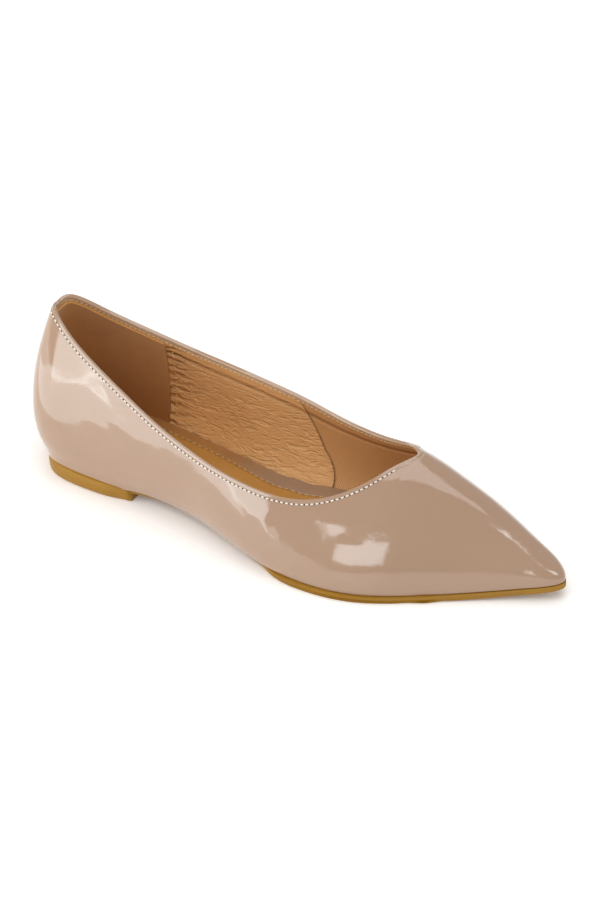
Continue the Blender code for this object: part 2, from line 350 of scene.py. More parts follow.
shellShape = {
    "axisX": (-0.1188, -0.060, -0.025, 0.005, 0.035, 0.055, 0.085, 0.100),   # a line inside the foot
    "axisY": (0.0063, 0.0045, 0.0000, -0.003, 0.0015, 0.0045, 0.0095, 0.0115),
    "axisZ": (0.036, 0.026, 0.022, 0.020, 0.019, 0.018, 0.015, 0.012),
    "sharpAngle": 0.75,        # edges sharper than this are kept, under the foot
    "sharpBelow": 0.020,
    "sharpWeight": 0.85,
    "marginFacing": -0.98,     # the turned-in margin faces down
    "rounding": 2,
    "toplineStep": 0.0004,
    "foldRows": 10,            # rows of faces that the patent reaches over the topline, either way
    "foldAbove": 0.02,
    "waver": 0.00014,          # unevenness of the lacquered skin
    "waverSize": 0.011,
    "waverUnderEdge": (0.002, 0.009),
    "waverOverFloor": (0.008, 0.016),
    "liningLift": 0.00025,
    "liningRim": 0.0001,
    "skirtDrop": 0.0021,       # how far the skin reaches down over the sole, at the heel
    "skirtOut": 0.0004,
    "skirtMiddle": (-0.085, 0.0063, 0),
    "skirtEnds": (-0.084, -0.060),
}

# dents and rolls of the patent, each a line, how far it reaches and how deep it goes
patentCreases = [
    {"path": [(0.001, -0.0362, 0.0225), (0.003, -0.0372, 0.0195),
              (0.0083, -0.0383, 0.0155), (0.0135, -0.0391, 0.0106)],
     "reach": 0.0050, "height": -0.00035},
    {"path": [(0.010, -0.0345, 0.0255), (0.022, -0.0340, 0.0262),
              (0.034, -0.0320, 0.0262), (0.046, -0.0275, 0.0285)],
     "reach": 0.0065, "height": -0.00018},
    {"path": [(-0.100, -0.0120, 0.040), (-0.094, -0.0160, 0.030),
              (-0.084, -0.0195, 0.024), (-0.070, -0.0215, 0.021)],
     "reach": 0.0120, "height": -0.00050},
    {"path": [(-0.088, -0.0150, 0.049), (-0.078, -0.0175, 0.042), (-0.066, -0.0190, 0.037)],
     "reach": 0.0060, "height": 0.00030},
    {"path": [(0.086, -0.0100, 0.0130), (0.098, -0.0040, 0.0130), (0.108, 0.0020, 0.0120)],
     "reach": 0.0060, "height": -0.00012},
]


def axisPoint(x):
    stations = shellShape["axisX"]
    x = min(max(x, stations[0]), stations[-1])
    return Vector((x, *(fromTable(stations, shellShape[name], x) for name in ("axisY", "axisZ"))))


def facesOut(face):
    return face.normal.dot(face.center - axisPoint(face.center.x)) > 0


def stepsFrom(mesh, start):
    # how many edges lie between each corner and the start
    links = {}
    for edge in mesh.edges:
        a, b = edge.vertices
        links.setdefault(a, []).append(b)
        links.setdefault(b, []).append(a)
    steps, front = {i: 0 for i in start}, list(start)
    while front:
        reached = {k for i in front for k in links[i] if k not in steps}
        steps.update({k: steps[front[0]] + 1 for k in reached})
        front = list(reached)
    return steps


def featherRing(mesh):
    under, outside = set(), set()
    for face in mesh.polygons:
        if face.normal.z < shellShape["marginFacing"]:
            under.update(face.vertices)
        elif facesOut(face):
            outside.update(face.vertices)
    return under & outside


def quadsFromRings(piece):
    # rings run round the shoe from the feather edge up, and the longer half of the edges between two rings are
    # the diagonals
    mesh = piece.data
    ring = stepsFrom(mesh, featherRing(mesh))
    between = {edge.key: edge for edge in mesh.edges if ring[edge.vertices[0]] != ring[edge.vertices[1]]}
    beside = {}
    for face in mesh.polygons:
        pair = [key for key in face.edge_keys if key in between]
        if len(pair) == 2:
            beside.setdefault(pair[0], []).append(pair[1])
            beside.setdefault(pair[1], []).append(pair[0])
    length = {key: (mesh.vertices[key[0]].co - mesh.vertices[key[1]].co).length for key in between}
    seen, diagonals = {}, set()
    for first in between:
        if first in seen:
            continue
        seen[first], front = 0, [first]
        strip = [first]
        while front:
            key = front.pop()
            for other in beside.get(key, ()):
                if other not in seen:
                    seen[other] = 1 - seen[key]
                    front.append(other)
                    strip.append(other)
        sides = [[key for key in strip if seen[key] == side] for side in (0, 1)]
        diagonals.update(max(sides, key=lambda keys: sum(length[key] for key in keys)))
    startShaping(piece, "EDGE")
    chosen(mesh.edges, lambda edge: edge.key in diagonals)
    bpy.ops.mesh.dissolve_edges(use_verts=False)
    doneShaping()
    # a corner that is left with two edges only would pull a dent into the rounded toe
    edgeCount = {}
    for edge in piece.data.edges:
        for i in edge.vertices:
            edgeCount[i] = edgeCount.get(i, 0) + 1
    startShaping(piece, "VERT")
    loose = chosen(piece.data.vertices, lambda v: edgeCount.get(v.index, 0) == 2)
    if loose:
        bpy.ops.mesh.dissolve_verts()
    doneShaping()
    quads = sum(len(face.vertices) == 4 for face in piece.data.polygons)
    print("rings give", quads, "quads,", len(piece.data.polygons) - quads, "others;", loose, "corners dissolved")


def dropSkirt(piece):
    # round the heel the lowest ring of the outside comes down over the edge of the sole
    mesh = piece.data
    middle = Vector(shellShape["skirtMiddle"])
    for i in featherRing(mesh):
        spot = mesh.vertices[i].co
        weight = 1 - softStep(*shellShape["skirtEnds"], spot.x)
        outward = Vector((min(spot.x - middle.x, 0), spot.y - middle.y, 0)).normalized()
        spot.z -= shellShape["skirtDrop"] * weight
        spot += outward * shellShape["skirtOut"] * weight
    mesh.update()


def markTopline(piece):
    # the seam runs along the highest ring of the rim, found from one edge at the back
    startShaping(piece, "EDGE")
    mesh = piece.data
    top = max(mesh.vertices, key=lambda v: v.co.z)
    nextTo = [edge for edge in mesh.edges if top.index in edge.vertices]
    runs = {edge.index: mesh.vertices[edge.vertices[0]].co - mesh.vertices[edge.vertices[1]].co for edge in nextTo}
    along = min(runs, key=lambda i: abs(runs[i].z) / runs[i].length)
    chosen(mesh.edges, lambda edge: edge.index == along)
    bpy.ops.mesh.loop_multi_select(ring=False)
    bpy.ops.mesh.mark_seam()
    doneShaping()


def inOrder(keys):
    # the corners of a closed line of edges, one after the other
    links = {}
    for a, b in keys:
        links.setdefault(a, []).append(b)
        links.setdefault(b, []).append(a)
    start = next(iter(links))
    loop, last = [start], None
    while True:
        following = [i for i in links[loop[-1]] if i != last]
        if not following or following[0] == start:
            break
        last = loop[-1]
        loop.append(following[0])
    return loop


def evenly(loop, pitch):
    # points and directions at equal steps round a closed line
    loop = loop + loop[:1]
    steps = [(b - a).length for a, b in zip(loop, loop[1:])]
    total = sum(steps)
    count = round(total / pitch)
    spots, i, run = [], 0, 0.0
    for k in range(count):
        goal = total * k / count
        while run + steps[i] < goal:
            run += steps[i]
            i += 1
        a, b = loop[i], loop[i + 1]
        spots.append((a.lerp(b, (goal - run) / steps[i]), (b - a).normalized()))
    return spots


upperShell = copyOfNode("upper", "patentShell", joinPairs=False)
quadsFromRings(upperShell)
dropSkirt(upperShell)
creaseSharpEdges(upperShell, shellShape)
markTopline(upperShell)
rounded(upperShell, shellShape["rounding"])
shellMesh = upperShell.data
topline = [shellMesh.vertices[i].co.copy() for i in inOrder([e.key for e in shellMesh.edges if e.use_seam])]
around = sum((a - b).length for a, b in zip(topline, topline[1:] + topline[:1]))
print("topline corners:", len(topline), "length mm", round(1000 * around))
toplineTree = spotsTree([spot for spot, _ in evenly(topline, shellShape["toplineStep"])])


def belowTopline(spot):
    return toplineTree.find(spot)[2]


# the patent is all that faces out, and what is folded over the topline
startShaping(upperShell, "EDGE")
chosen(upperShell.data.edges, lambda edge: edge.use_seam)
bpy.ops.mesh.select_mode(type="VERT")
for _ in range(shellShape["foldRows"]):
    bpy.ops.mesh.select_more(use_face_step=True)
bpy.ops.mesh.select_mode(type="FACE")
doneShaping()
folded = {face.index for face in upperShell.data.polygons if face.select}
startShaping(upperShell, "FACE")
chosen(upperShell.data.polygons, lambda face: face.index in folded or facesOut(face))
bpy.ops.mesh.separate(type="SELECTED")
doneShaping()
lining = upperShell
patent = next(o for o in bpy.context.selected_objects if o is not upperShell)
lining.name = lining.data.name = "lining"
patent.name = patent.data.name = "patentShell"
print("patent faces:", len(patent.data.polygons), "lining faces:", len(lining.data.polygons))

# the skin is never quite even, but the edge and the sole line stay put
waver = bpy.data.textures.new("waver", "CLOUDS")
waver.noise_scale = shellShape["waverSize"]
waver.noise_depth = 1
pressed(patent, "waver",
        lambda spot: softStep(*shellShape["waverUnderEdge"], belowTopline(spot))
        * softStep(*shellShape["waverOverFloor"], spot.z),
        shellShape["waver"], texture=waver, texture_coords="LOCAL", mid_level=0.5)
for number, crease in enumerate(patentCreases):
    path = [Vector(spot) for spot in crease["path"]]
    pressed(patent, f"crease{number}", lambda spot: 1 - softStep(0, crease["reach"], awayFrom(path, spot)),
            crease["height"], mid_level=0)
measured(patent, "belowTop", belowTopline)
folding = patent.data.attributes.new("folding", "FLOAT", "POINT").data
for v, slot in zip(patent.data.vertices, folding):
    turnedIn = v.normal.dot(v.co - axisPoint(v.co.x)) < 0 and v.co.z > shellShape["foldAbove"]
    slot.value = 1.0 if turnedIn else 0.0
print("patent shaped")

# patent finish

patentLook = {
    "gloss": {"Roughness": 0.10, "IOR": 1.62, "Coat Weight": 0.5, "Coat IOR": 1.6, "Coat Roughness": 0.04},
    "skin": (tone(0.646, 0.517, 0.414), tone(0.668, 0.539, 0.436)),
    "fold": tone(0.83, 0.72, 0.60),        # painted light: what is folded in over the edge is painted lighter than the rest, as if it caught more light
    "rippleDepth": 0.0006,
    "peelDepth": 0.00003,
    "grooveBelow": 0.0021,                 # the stitches draw a shallow groove along the edge
    "grooveReach": 0.0007,
    "grooveDepth": 0.00022,
    "seam": tone(0.42, 0.33, 0.26),
    "seamAt": 0.0063,
    "seamReach": 0.00035,
    "seamEnds": (-0.1135, -0.1105),
    "seamDepth": 0.0003,
}
patentFinish = Finish("patentFinish", patentLook["gloss"])
lengthways, sideways, upwards = patentFinish.axes()
backSeam = ((sideways - patentLook["seamAt"]).near(patentLook["seamReach"])
            * (1 - lengthways.step(*patentLook["seamEnds"])))
skin = patentFinish.mixed(patentFinish.noise(30, 2, 0.4), *patentLook["skin"])
# painted light: the turned-in fold is painted lighter
paintedLightFold = patentFinish.mixed(patentFinish.marked("folding"), skin, patentLook["fold"])
patentFinish.feed("Base Color", patentFinish.mixed(backSeam * 0.7, paintedLightFold, patentLook["seam"]))
ripple = patentFinish.relief(patentFinish.noise(62, 1, 0.4), patentLook["rippleDepth"])
peel = patentFinish.relief(patentFinish.noise(520, 2, 0.5), patentLook["peelDepth"], ripple)
edgeGroove = (patentFinish.marked("belowTop") - patentLook["grooveBelow"]).near(patentLook["grooveReach"])
grooved = patentFinish.relief(1 - edgeGroove, patentLook["grooveDepth"], peel)
patentFinish.feed("Normal", patentFinish.relief(1 - backSeam, patentLook["seamDepth"], grooved))

# lining: wrinkled leather at the quarters, a woven cloth ahead of the curved seam

liningShape = {
    "seamFront": 0.0056,       # where the vamp lining starts at the foot of the wall
    "seamBottom": 0.006,
    "seamBend": 24.0,          # the seam leans back, and runs on straight from here
    "seamStraight": 0.0165,
    "seamLean": 0.42,
    "seamReach": 0.0011,
    "gripEdge": -0.078,
    "gatherPitch": 0.0040,
    "gatherReach": 0.015,
    "gatherSway": 11.0,
    "smoothBelow": (0.0050, 0.0072),       # under the edge the lining is drawn smooth, and a shadow ends that band
    "shadeBelow": 0.0078,
    "shadeReach": 0.0022,
    "wrinkleScale": (150, 150, 520),       # long low wrinkles along the foot, with fine pores over them
    "fineScale": (420, 420, 950),
    "poreScale": 1500,
    "twillPitch": 0.00105,
    "weftPitch": 0.0009,
    "depths": {"wrinkle": 0.00034, "fine": 0.00022, "weave": 0.00010, "gather": 0.0005,
               "seam": 0.0002, "shade": 0.0006},
}
liningTones = {
    "leather": (tone(0.875, 0.665, 0.425), tone(0.925, 0.715, 0.475)),
    # painted shade: the lining is lighter between its wrinkles and keeps the darker tone in them
    "between": tone(0.94, 0.77, 0.54),
    # painted shade in the folds of the gathers
    "gather": tone(0.50, 0.29, 0.11),
    "cloth": (tone(0.760, 0.545, 0.325), tone(0.940, 0.735, 0.500)),
    "shade": tone(0.55, 0.34, 0.13),
    # the seam line, and the painted shadow of the overlapping edge beside it
    "seam": tone(0.42, 0.26, 0.12),
}
useModifier(lining, "DISPLACE", strength=shellShape["liningLift"], mid_level=0)
useModifier(lining, "SOLIDIFY", thickness=shellShape["liningLift"] + shellShape["liningRim"], offset=-1,
            use_rim=True, use_rim_only=True)
measured(lining, "belowTop", belowTopline)

liningFinish = Finish("liningFinish", {"Roughness": 0.58})
lengthways, sideways, upwards = liningFinish.axes()
rise = upwards - liningShape["seamBottom"]
bent = rise.reckon("MINIMUM", rise, liningShape["seamStraight"])
seam = (lengthways - liningShape["seamFront"] + bent * bent * liningShape["seamBend"]
        + (rise - bent) * liningShape["seamLean"])
woven = seam.step(-0.0003, 0.0003)
wobble = liningFinish.noise(120, 2, 0.5)
wrinkleFlow = liningFinish.noise(1, 2, 0.45, liningFinish.place(liningShape["wrinkleScale"]), 0.6)
wrinkles = 1 - abs(wrinkleFlow - 0.5).step(0, 0.24)
fineFlow = liningFinish.noise(1, 2, 0.5, liningFinish.place(liningShape["fineScale"]), 0.4)
pores = liningFinish.cells(liningShape["poreScale"])
# gathers run ahead from the edge of the heel grip
fromGrip = lengthways - liningShape["gripEdge"]
gatherEnd = (fromGrip + (wobble - 0.5) * 0.02).step(0.001, liningShape["gatherReach"])
reachNow = (1 - gatherEnd) * fromGrip.step(-0.004, 0.0)
turns = upwards * (2 * math.pi / liningShape["gatherPitch"]) + wobble * liningShape["gatherSway"]
gathers = (turns.wave() * 0.5 + 0.5).power(2.2) * reachNow
belowTop = liningFinish.marked("belowTop")
bandShade = (belowTop - liningShape["shadeBelow"]).near(liningShape["shadeReach"])
quiet = 1 - (1 - belowTop.step(*liningShape["smoothBelow"])) * 0.85
twill = ((lengthways + upwards) * (2 * math.pi / liningShape["twillPitch"])).wave() * 0.5 + 0.5
weft = ((lengthways - upwards * 0.5) * (2 * math.pi / liningShape["weftPitch"])).wave() * 0.5 + 0.5

leather = liningFinish.mixed(wobble, *liningTones["leather"])
# painted shade in the wrinkles: lighter between them, darker along them
wrinkled = liningFinish.mixed((1 - wrinkles) * quiet * 0.40, leather, liningTones["between"])
# painted shade: the gathers' folds are painted darker
gatherShaded = liningFinish.mixed(gathers * 0.50, wrinkled, liningTones["gather"])
cloth = liningFinish.mixed(twill * 0.6 + weft * 0.2, *liningTones["cloth"])
bandShaded = liningFinish.mixed(bandShade * 0.40, liningFinish.mixed(woven, gatherShaded, cloth), liningTones["shade"])
# the dark seam line is partly the seam itself and partly the painted shadow of the overlapping edge
seamLineAndShadow = (seam - 0.0003).near(liningShape["seamReach"])
liningFinish.feed("Base Color", liningFinish.mixed(seamLineAndShadow * 0.5, bandShaded, liningTones["seam"]))
heights = {
    "wrinkle": wrinkles * quiet * (1 - woven),
    "fine": (fineFlow * 0.6 + pores * 0.4) * (1 - woven),
    "weave": (twill * 0.7 + weft * 0.3) * woven,
    "gather": 1 - gathers,
    "seam": 1 - woven,
    "shade": 1 - bandShade,
}
normal = None
for name, height in heights.items():
    normal = liningFinish.relief(height, liningShape["depths"][name], normal)
liningFinish.feed("Normal", normal)

# heel grip: a pad of suede round the back of the wall, cut off straight in front

gripShape = {
    "lift": 0.0002,
    "thick": 0.0009,
    "edge": 0.0004,
    "facing": -0.15,           # faces that look away from the foot, or up, are left out
    "facingUp": 0.75,
    "napDepth": 0.00007,
    "rubbedDepth": 0.0004,
    "shadedTo": (0.010, 0.048),            # painted shade: darker at the foot of the wall
    "low": tone(0.600, 0.385, 0.160),
    "suede": (tone(0.680, 0.460, 0.225), tone(0.810, 0.590, 0.330)),
}


def outsideGrip(face):
    away = face.center - axisPoint(face.center.x)
    return away.dot(face.normal) > gripShape["facing"] * away.length or face.normal.z > gripShape["facingUp"]


grip = copyOfPiece(lining, "heelGrip")
startShaping(grip, "FACE")
chosen(grip.data.polygons, outsideGrip)
bpy.ops.mesh.delete(type="FACE")
bpy.ops.mesh.select_all(action="SELECT")
bpy.ops.mesh.bisect(plane_co=(liningShape["gripEdge"], 0, 0), plane_no=(1, 0, 0), clear_outer=True)
doneShaping()
useModifier(grip, "DISPLACE", strength=gripShape["lift"], mid_level=0)
useModifier(grip, "SOLIDIFY", thickness=gripShape["thick"], offset=1, use_rim=True)
useModifier(grip, "BEVEL", width=gripShape["edge"], segments=2, limit_method="ANGLE", angle_limit=math.radians(50))
gripFinish = Finish("gripFinish", {"Roughness": 0.88, "Sheen Weight": 0.25, "Sheen Roughness": 0.5})
nap = gripFinish.noise(900, 3, 0.6)
rubbed = gripFinish.noise(45, 3, 0.55, warp=0.8)
lengthways, sideways, upwards = gripFinish.axes()
suede = gripFinish.mixed(nap * 0.4 + rubbed * 0.6, *gripShape["suede"])
# painted shade: the grip is darker towards the foot of the wall
gripFinish.feed("Base Color", gripFinish.mixed(upwards.step(*gripShape["shadedTo"]), gripShape["low"], suede))
worn = gripFinish.relief(rubbed, gripShape["rubbedDepth"])
gripFinish.feed("Normal", gripFinish.relief(nap, gripShape["napDepth"], worn))

threadFinish = plainFinish("threadFinish", 0.55, 700, tone(0.86, 0.80, 0.74), tone(0.95, 0.92, 0.88))
goldFinish = plainFinish("goldFinish", 0.55, 700, tone(0.80, 0.62, 0.37), tone(0.93, 0.77, 0.52))
# painted shade: dark beads in the gaps between stitches stand for the shade of the needle holes
holeShadeFinish = plainFinish("holeShadeFinish", 0.9, 400, tone(0.24, 0.20, 0.17), tone(0.36, 0.31, 0.27))

finished(patent, patentFinish.material, ["upper"])
finished(lining, liningFinish.material)
finished(grip, gripFinish.material)
print("upper, lining and grip done")

# sock: a thin pad with a stitched line inside its edge

sockShape = {
    "sharpAngle": 0.7,
    "sharpBelow": 1.0,
    "sharpWeight": 0.8,
    "rounding": 3,
    "rowX": (-0.120, -0.085, -0.069, -0.051, -0.032, -0.014, 0.010, 0.035, 0.075),
    # how far the line runs from the edge, at those places
    "rowIn": (0.0058, 0.0056, 0.0055, 0.0058, 0.0074, 0.0091, 0.0086, 0.0076, 0.0062),
    "rowFront": 0.076,
    "rowStep": 0.0008,
    "edgeStep": 0.002,
    "middleY": 0.004,
    "middleEnds": (-0.08, 0.06),
    "above": 0.05,             # rays down onto the sock start from this height
    "plump": 0.0005,
    "plumpReach": 0.006,
    "groove": 0.0004,
    "grooveReach": 0.0011,
    "pebbleDepth": 0.00006,
    "wornDepth": 0.0005,
    "sheenFrom": (-0.055, -0.012),          # painted sheen: the border turns greyer to the front, where the light glances off it
    "pad": (tone(0.650, 0.450, 0.185), tone(0.740, 0.540, 0.260)),
    "warm": (tone(0.600, 0.420, 0.220), tone(0.680, 0.490, 0.280)),
    # the grey of the painted sheen on the border
    "grey": (tone(0.560, 0.450, 0.355), tone(0.650, 0.535, 0.435)),
    # painted shade in the stitched groove
    "line": tone(0.36, 0.22, 0.08),
}
sock = copyOfNode("insole", "sock")
creaseSharpEdges(sock, sockShape)
rounded(sock, sockShape["rounding"])


def ontoSock(tree, x, y):
    return tree.ray_cast(Vector((x, y, sockShape["above"])), Vector((0, 0, -1)))


def sockOutline():
    # the edge of the upper face, in order
    mesh = sock.data
    counts = {}
    for face in mesh.polygons:
        if face.normal.z > 0.6:
            for key in face.edge_keys:
                counts[key] = counts.get(key, 0) + 1
    return [mesh.vertices[i].co.copy() for i in inOrder([key for key, count in counts.items() if count == 1])]


edgeSpots = [spot for spot, _ in evenly(sockOutline(), sockShape["edgeStep"])]
sockTree = treeOf(sock)
row = []
for i, spot in enumerate(edgeSpots):
    run = (edgeSpots[(i + 3) % len(edgeSpots)] - edgeSpots[i - 3]).normalized()
    inward = Vector((-run.y, run.x, 0)).normalized()
    back, ahead = sockShape["middleEnds"]
    if inward.dot(Vector((min(max(spot.x, back), ahead) - spot.x, sockShape["middleY"] - spot.y, 0))) < 0:
        inward = -inward
    goal = spot + inward * fromTable(sockShape["rowX"], sockShape["rowIn"], spot.x)
    if goal.x < sockShape["rowFront"]:
        hit = ontoSock(sockTree, goal.x, goal.y)[0]
        if hit:
            row.append(hit)
# the points come round in order, so the gap at the front closes straight across
front = max(range(len(row)), key=lambda i: (row[i] - row[i - 1]).length)
row = row[front:] + row[:front]
rowLoop = [spot for spot, _ in evenly(row, sockShape["rowStep"])]
rowTree = spotsTree(rowLoop)
turning = sum(a.x * b.y - a.y * b.x for a, b in zip(rowLoop, rowLoop[1:] + rowLoop[:1]))


def insideRow(spot):
    # distance to the stitched line, counted up towards the middle of the sock
    near, i, distance = rowTree.find(Vector((spot.x, spot.y, rowTree.find(spot)[0].z)))
    run = rowLoop[(i + 1) % len(rowLoop)] - rowLoop[i - 1]
    away = spot - near
    side = run.x * away.y - run.y * away.x
    return distance if side * turning > 0 else -distance


pressed(sock, "plump", lambda spot: softStep(0.0, sockShape["plumpReach"], insideRow(spot)),
        sockShape["plump"], mid_level=0)
measured(sock, "insideRow", insideRow)

sockFinish = Finish("sockFinish", {"Coat Weight": 0.12, "Coat Roughness": 0.35})
inRow = sockFinish.marked("insideRow")
padded = inRow.step(-0.0006, 0.0006)
worn = sockFinish.noise(55, 3, 0.6, warp=0.5)
lengthways, sideways, upwards = sockFinish.axes()
padTone, warmBand, sheenBand = (sockFinish.mixed(worn, *sockShape[name]) for name in ("pad", "warm", "grey"))
# painted sheen: the border's warm tone turns grey towards the front
bandTone = sockFinish.mixed(lengthways.step(*sockShape["sheenFrom"]), warmBand, sheenBand)
sockTone = sockFinish.mixed(padded, bandTone, padTone)
# painted shade: the stitched groove is painted darker
sockFinish.feed("Base Color", sockFinish.mixed(inRow.near(0.0008) * 0.25, sockTone, sockShape["line"]))
sockFinish.feed("Roughness", 0.38 + padded * 0.17 + worn * 0.08)
pebbled = sockFinish.relief(sockFinish.cells(1100), sockShape["pebbleDepth"],
                            sockFinish.relief(worn, sockShape["wornDepth"]))
sockFinish.feed("Normal", sockFinish.relief(1 - inRow.near(sockShape["grooveReach"]), sockShape["groove"], pebbled))
finished(sock, sockFinish.material, ["insole"])
print("sock done, row points", len(row))

# outsole and heel lift in one moulded rubber

soleShape = {
    "sharpAngle": 0.7,
    "sharpBelow": 1.0,
    "sharpWeight": 0.8,
    "rounding": 2,
    "facingDown": -0.9,
    "ribPitch": 0.0032,
    "ribSway": 260,
    "treadDepth": 0.0005,
    "mouldDepth": 0.00004,
    "rubber": (tone(0.575, 0.405, 0.060), tone(0.650, 0.470, 0.090)),
    # painted shade between the ribs of the tread
    "tread": tone(0.33, 0.21, 0.04),
}
# the lift's wall reaches up round the sole, so that the two read as one moulded block
liftShape = {
    "sharpAngle": 0.7,
    "sharpBelow": 1.0,
    "sharpWeight": 0.9,
    "rounding": 2,
    "upright": 0.9,
    "wallFrom": 0.0028,        # what lies within this of the lift's top, and over the next height, is raised
    "wallOver": 0.002,
    "wallUp": 0.0026,
    "wallOut": 0.00035,
    "breast": 0.0035,
}


def markUnderside(piece):
    values = piece.data.attributes.new("underside", "FLOAT", "FACE").data
    for face, slot in zip(piece.data.polygons, values):
        slot.value = 1.0 if face.normal.z < soleShape["facingDown"] else 0.0


rubberFinish = Finish("rubberFinish", {"Specular IOR Level": 0.4})
lengthways, sideways, upwards = rubberFinish.axes()
under = rubberFinish.marked("underside")
stain = rubberFinish.noise(70, 3, 0.6, warp=0.6)
mould = rubberFinish.relief(rubberFinish.noise(1400, 2, 0.6), soleShape["mouldDepth"])
# wavy ribs run across the tread
sway = (sideways * soleShape["ribSway"]).wave() * 0.9
ribs = (lengthways * (2 * math.pi / soleShape["ribPitch"]) + sway).wave().step(-0.3, 0.3)
rubberTone = rubberFinish.mixed(stain, *soleShape["rubber"])
# painted shade: the underside is darker between the ribs
rubberFinish.feed("Base Color", rubberFinish.mixed((1 - ribs) * under * 0.35, rubberTone, soleShape["tread"]))
rubberFinish.feed("Roughness", 0.42 + stain * 0.14)
rubberFinish.feed("Normal", rubberFinish.relief(ribs * under, soleShape["treadDepth"], mould))

sole = copyOfNode("outsole", "soleUnit")
creaseSharpEdges(sole, soleShape)
rounded(sole, soleShape["rounding"])
markUnderside(sole)
finished(sole, rubberFinish.material, ["outsole"])

lift = copyOfNode("heel", "heelLift")
startShaping(lift, "VERT")
liftMesh = lift.data
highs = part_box("heel")[1]
upright = {i for face in liftMesh.polygons if abs(face.normal.z) < liftShape["upright"] for i in face.vertices}
raised = chosen(liftMesh.vertices, lambda v: v.index in upright and v.co.x < highs[0] - liftShape["breast"]
                and v.co.z > max(highs[2] - liftShape["wallFrom"], liftShape["wallOver"]))
bpy.ops.transform.translate(value=(0, 0, liftShape["wallUp"]))
bpy.ops.transform.shrink_fatten(value=liftShape["wallOut"])
doneShaping()
print("lift corners raised:", raised)
creaseSharpEdges(lift, liftShape)
rounded(lift, liftShape["rounding"])
markUnderside(lift)
finished(lift, rubberFinish.material, ["heel"])
print("sole and lift done")

# stitches: one sewn line outside and one inside the topline, one round the sock, one ahead of the heel grip

stitchRows = {
    "outer": {"pitch": 0.0022, "length": 0.0017, "width": 0.00082, "flat": 0.7, "below": 0.0022, "sunk": 0.00008},
    "inner": {"pitch": 0.0022, "length": 0.0015, "width": 0.00055, "flat": 0.7, "below": 0.0034, "sunk": 0.00005},
    "sock": {"pitch": 0.0032, "length": 0.0020, "width": 0.00045, "flat": 0.7, "fromFront": 0.004, "sunk": 0.00003},
    "grip": {"pitch": 0.0024, "length": 0.0015, "width": 0.00060, "flat": 0.7, "ahead": 0.0030, "sunk": 0.00012,
             "lowest": 0.0145, "count": 18, "within": 0.04, "below": 0.006},
    "hole": {"length": 0.0008, "width": 0.0007, "flat": 0.25, "sunk": 0.00003},
}
collar = {"middleY": 0.004, "middleEnds": (-0.09, 0.0), "aside": 0.0015}


def besideTopline(tree, spot, along, side, distance):
    # a point on the surface, that far below the topline, on the outside (side 1) or the inside (side -1)
    level = Vector((along.y, -along.x, 0)).normalized()
    back, ahead = collar["middleEnds"]
    if level.dot(spot - Vector((min(max(spot.x, back), ahead), collar["middleY"], spot.z))) < 0:
        level = -level
    guess = tree.find_nearest(spot + level * side * collar["aside"] - Vector((0, 0, collar["aside"])))[0]
    for _ in range(3):
        guess, normal, _, _ = tree.find_nearest(spot + (guess - spot).normalized() * distance)
    return guess, normal


def beads(name, places, shape, finish):
    # small rounded bits laid on a surface, each given by its point, the surface's normal and the way it runs
    bpy.ops.object.select_all(action="DESELECT")
    bpy.ops.mesh.primitive_uv_sphere_add(segments=6, ring_count=5, radius=0.5)
    master = bpy.context.object
    made = []
    for point, normal, along in places:
        along = (along - normal * along.dot(normal)).normalized()
        turn = Matrix((along, normal.cross(along), normal)).transposed().to_4x4()
        size = Matrix.Diagonal((shape["length"], shape["width"], shape["width"] * shape["flat"], 1))
        one = bpy.data.objects.new(name, master.data.copy())
        one.data.transform(Matrix.Translation(point + normal * shape["sunk"]) @ turn @ size)
        bpy.context.scene.collection.objects.link(one)
        made.append(one)
    bpy.data.objects.remove(master)
    pickOnly(*made)
    bpy.ops.object.join()
    piece = bpy.context.object
    piece.name = piece.data.name = name
    return finished(piece, finish.material)


bpy.context.view_layer.update()
patentTree, liningTree, sockTree = treeOf(patent), treeOf(lining), treeOf(sock)
for name, side, finish in (("outer", 1, threadFinish), ("inner", -1, goldFinish)):
    shape = stitchRows[name]
    laid = [(*besideTopline(patentTree, spot, along, side, shape["below"]), along)
            for spot, along in evenly(topline, shape["pitch"] / 2)]
    beads(f"{name}Stitches", laid[::2], shape, finish)
    # dark beads of painted shade where the needle holes are
    beads(f"{name}Holes", laid[1::2], stitchRows["hole"], holeShadeFinish)

shape = stitchRows["sock"]
laid = []
for spot, along in evenly(rowLoop, shape["pitch"]):
    hit, normal, _, _ = ontoSock(sockTree, spot.x, spot.y)
    if hit and spot.x < sockShape["rowFront"] - shape["fromFront"]:
        laid.append((hit, normal, along))
beads("sockStitches", laid, shape, goldFinish)

shape = stitchRows["grip"]
x = liningShape["gripEdge"] + shape["ahead"]
laid = []
for side in (1, -1):
    for k in range(shape["count"]):
        start = Vector((x, axisPoint(x).y, shape["lowest"] + k * shape["pitch"]))
        hit, normal, _, distance = liningTree.ray_cast(start, Vector((0, side, 0)))
        if hit and distance < shape["within"] and belowTopline(hit) > shape["below"]:
            laid.append((hit, -normal if normal.y * side > 0 else normal, Vector((0.0, 0, 1))))
beads("gripStitches", laid, shape, goldFinish)
print("stitches done")

# floor, lights and camera

studio = {
    "floor": tone(0.985, 0.98, 0.972),
    "floorSize": 6,
    "world": 0.58,
    "azimuth": 29.07,          # the photo's viewing angle, in degrees
    "elevation": 33.79,
    "roll": -0.108,
    "away": 4.106,
    "aim": (-0.00269, 0.00629, 0.025),
    "across": 0.0024,          # from the aim to the middle of the shoe, in the picture's plane
    "upwards": 0.0089,
    "pixelsPerMetre": 1681 * 1.38,
    "pictureHeight": 900,
    "sensor": 36,
    "clip": (0.1, 20),
}
